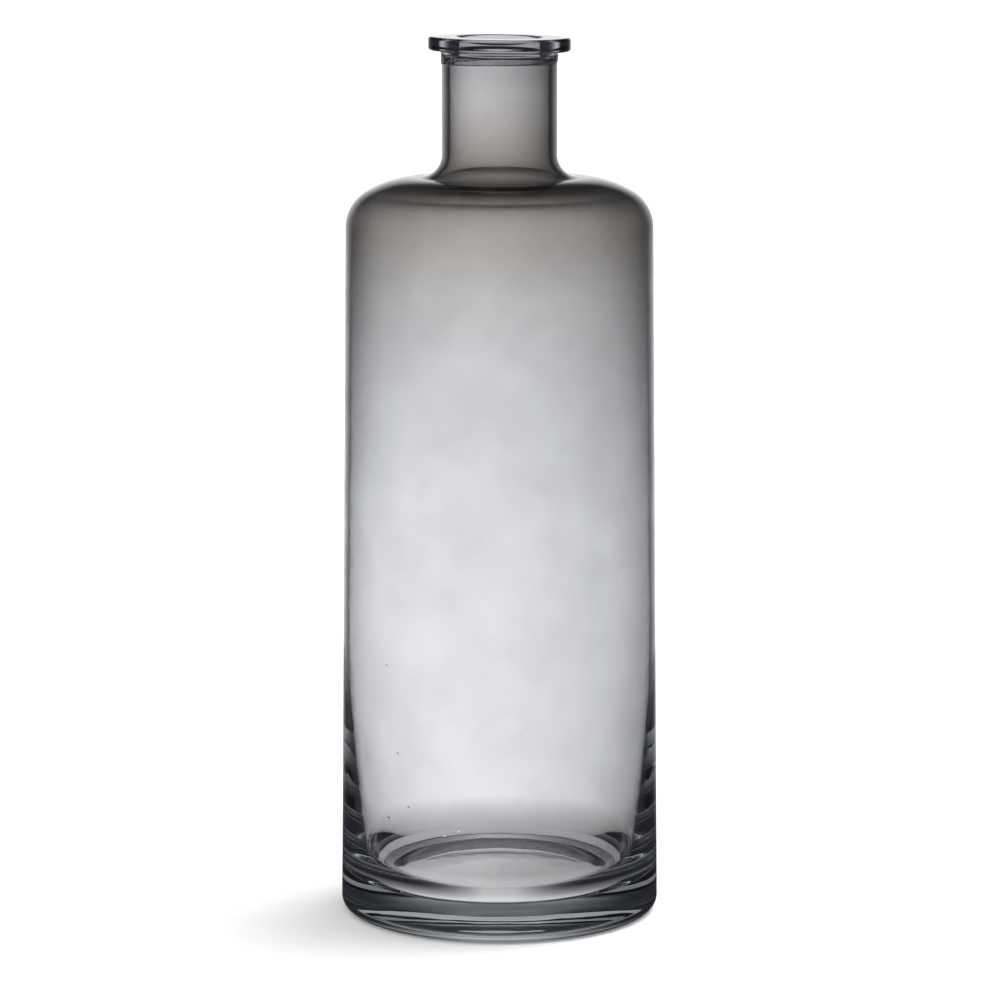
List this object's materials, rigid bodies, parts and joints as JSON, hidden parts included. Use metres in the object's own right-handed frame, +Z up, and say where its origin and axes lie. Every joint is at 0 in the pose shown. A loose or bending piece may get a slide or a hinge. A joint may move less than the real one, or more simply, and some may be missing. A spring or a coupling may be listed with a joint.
{
  "type": "cylindrical glass bottle vase",
  "caption": "Tall smoke-tinted glass vase: thick clear foot, slightly tapering cylindrical body, round shoulder and narrow neck with a flat flanged lip, for holding water and cut stems.",
  "frame": {"origin": "on the vase's axis, in the plane that the foot rests on", "axes": "+Z up along the axis towards the mouth; X and Y are any two horizontal directions, because both pieces are turned about Z"},
  "size_m": [0.1456, 0.1456, 0.4],
  "materials": {
    "smoke_glass": "glossy blown glass, smoke tint fading to clear at the foot",
    "lip_glass": "glossy fire-polished clear grey glass"
  },
  "bodies": {
    "root": {"vessel": "smoke_glass", "lip_ring": "lip_glass"}
  },
  "joints": []
}
